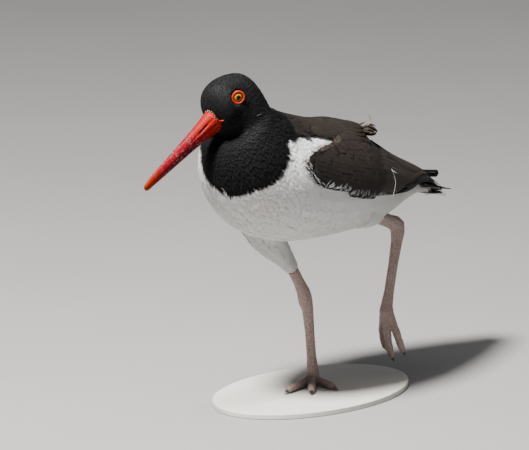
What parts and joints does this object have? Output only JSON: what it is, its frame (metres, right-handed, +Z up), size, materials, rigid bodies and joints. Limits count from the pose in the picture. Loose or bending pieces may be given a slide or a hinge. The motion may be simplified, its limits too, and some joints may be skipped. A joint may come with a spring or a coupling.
{
  "type": "oystercatcher",
  "caption": "Life-size model of an adult American oystercatcher in mid-stride, one foot down and one lifted, on a thin oval display base.",
  "frame": {"origin": "centre of the underside of the display base", "axes": "+Z up, -Y the way the bird faces, +X the bird's left; +Y is along its length towards the tail and X is across the body"},
  "size_m": [0.112, 0.3124, 0.2469],
  "materials": {
    "plumage_black": "soft black feathers of the head, neck and breast",
    "plumage_brown": "dark brown feathers of the back and wings",
    "plumage_white": "white feathers of the belly, flanks and thighs",
    "tail_dark": "dark tail feathers, white at the root",
    "bill_red": "satin horn, orange red",
    "eyelid_red": "bare orange-red skin round the eye",
    "iris_yellow": "wet, clear yellow with a black pupil",
    "leg_pink": "dull pink scaly skin",
    "claw_dark": "dark horn",
    "base_pale": "plain matt display base"
  },
  "bodies": {
    "root": {"stand_base": "base_pale", "head": "plumage_black", "neck": "plumage_black", "torso": "plumage_white", "tail": "tail_dark", "wing_left": "plumage_brown", "wing_right": "plumage_brown", "bill_upper": "bill_red", "bill_lower": "bill_red", "eye_left": "iris_yellow", "eye_right": "iris_yellow", "eyelid_left": "eyelid_red", "eyelid_right": "eyelid_red", "thigh_left": "plumage_white", "thigh_right": "plumage_white", "shank_left": "leg_pink", "shank_right": "leg_pink", "tarsus_left": "leg_pink", "tarsus_right": "leg_pink", "foot_left": "leg_pink", "foot_right": "leg_pink", "claw_left_inner": "claw_dark", "claw_left_middle": "claw_dark", "claw_left_outer": "claw_dark", "claw_right_inner": "claw_dark", "claw_right_middle": "claw_dark", "claw_right_outer": "claw_dark"}
  },
  "joints": []
}
